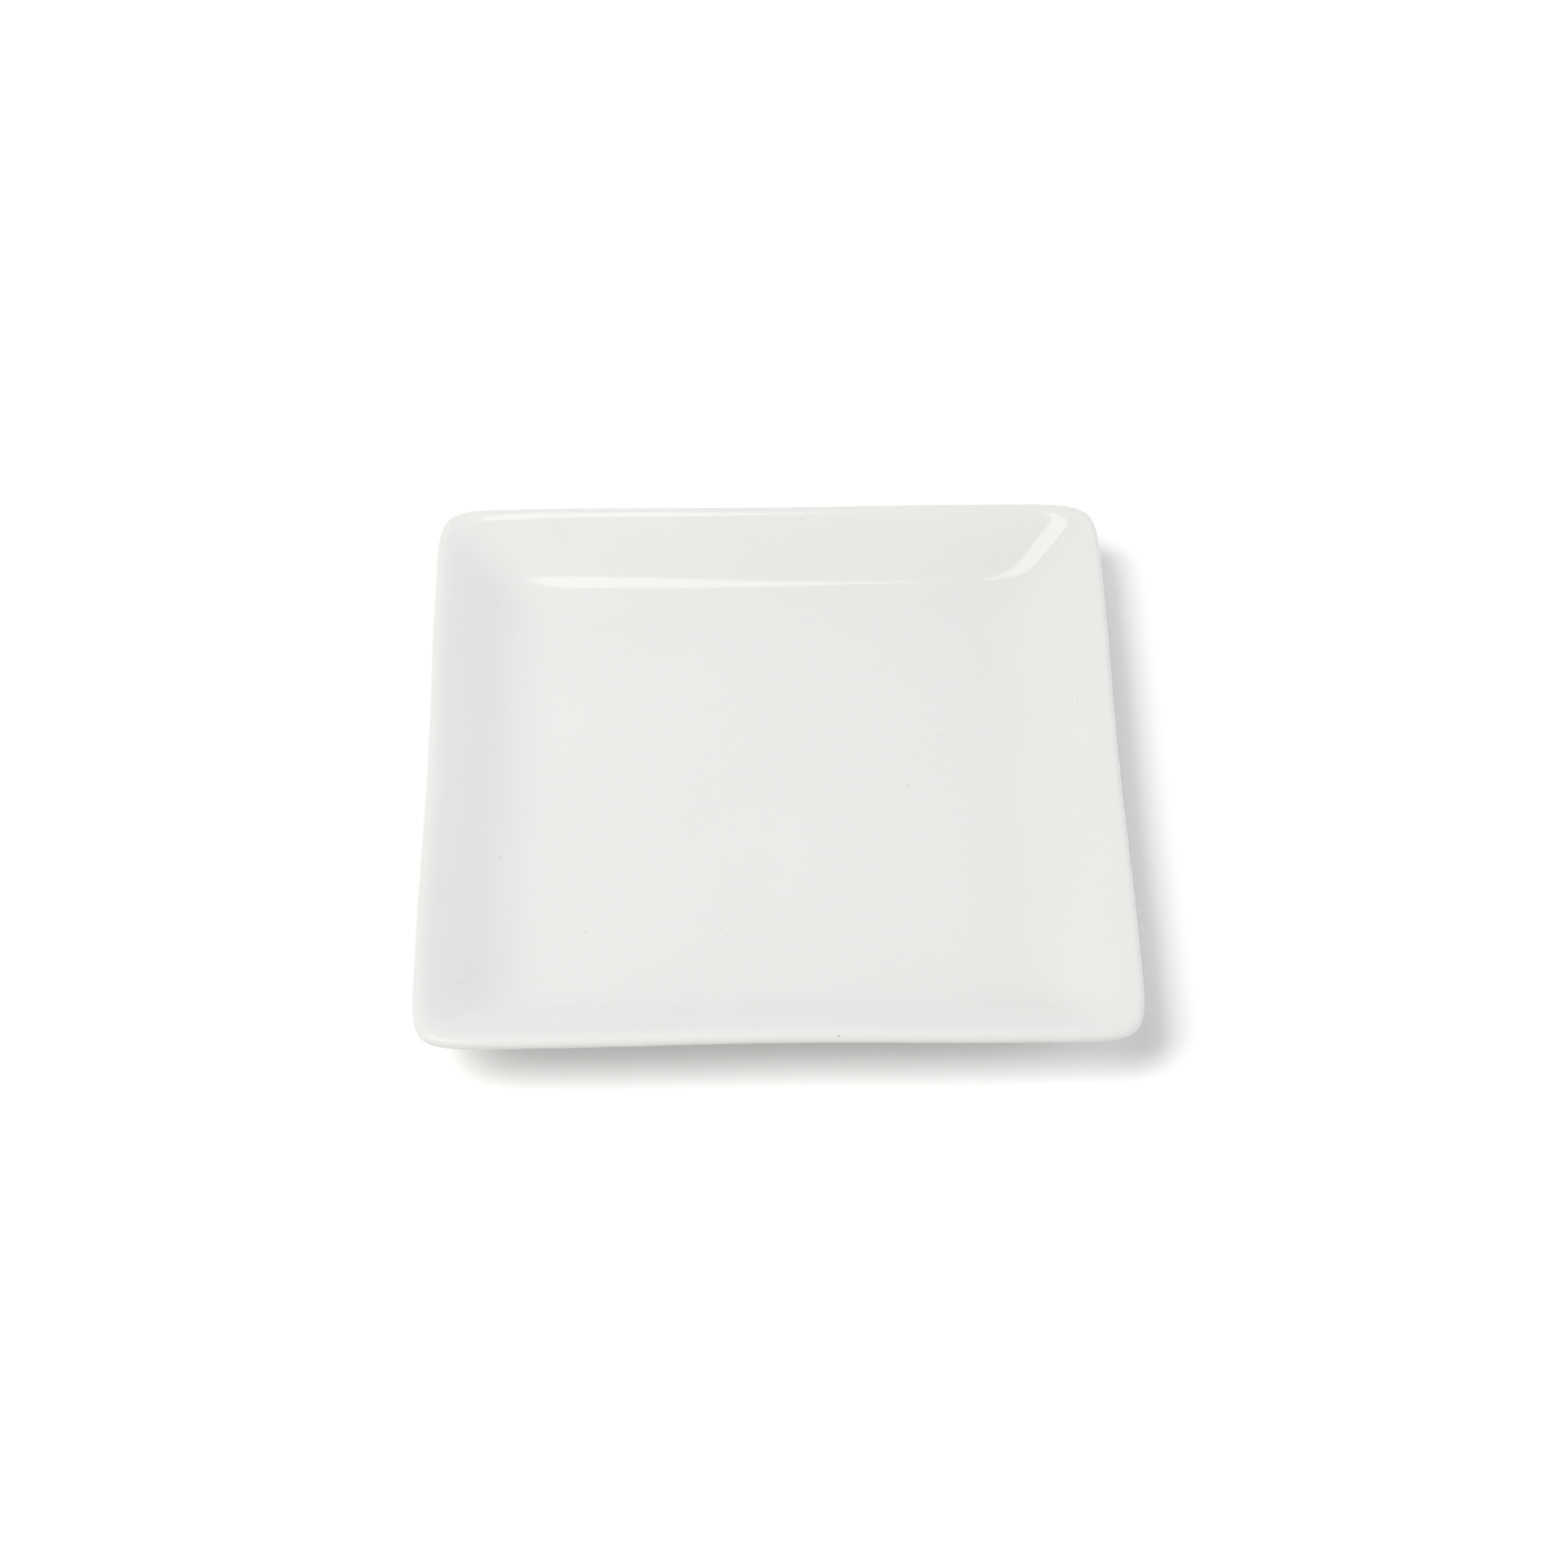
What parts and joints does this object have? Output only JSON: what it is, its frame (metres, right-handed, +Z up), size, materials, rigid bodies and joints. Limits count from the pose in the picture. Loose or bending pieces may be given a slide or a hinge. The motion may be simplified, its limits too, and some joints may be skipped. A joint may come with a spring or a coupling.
{
  "type": "square plate",
  "caption": "Square white porcelain plate with sloping walls, a rounded rim and a dry foot ring, for serving food.",
  "frame": {"origin": "on the table, under the middle of the plate", "axes": "+Z up out of the well, +X and +Y square to the sides"},
  "size_m": [0.18, 0.18, 0.0195],
  "materials": {
    "fired_porcelain": "matte, unglazed and ground flat on the foot ring",
    "white_glaze": "glossy, clear glaze over white clay",
    "white_base_glaze": "glossy, clear glaze over white clay"
  },
  "bodies": {
    "root": {"porcelain_body": "fired_porcelain", "outer_glaze_coat": "white_glaze", "base_glaze_coat": "white_base_glaze"}
  },
  "joints": []
}
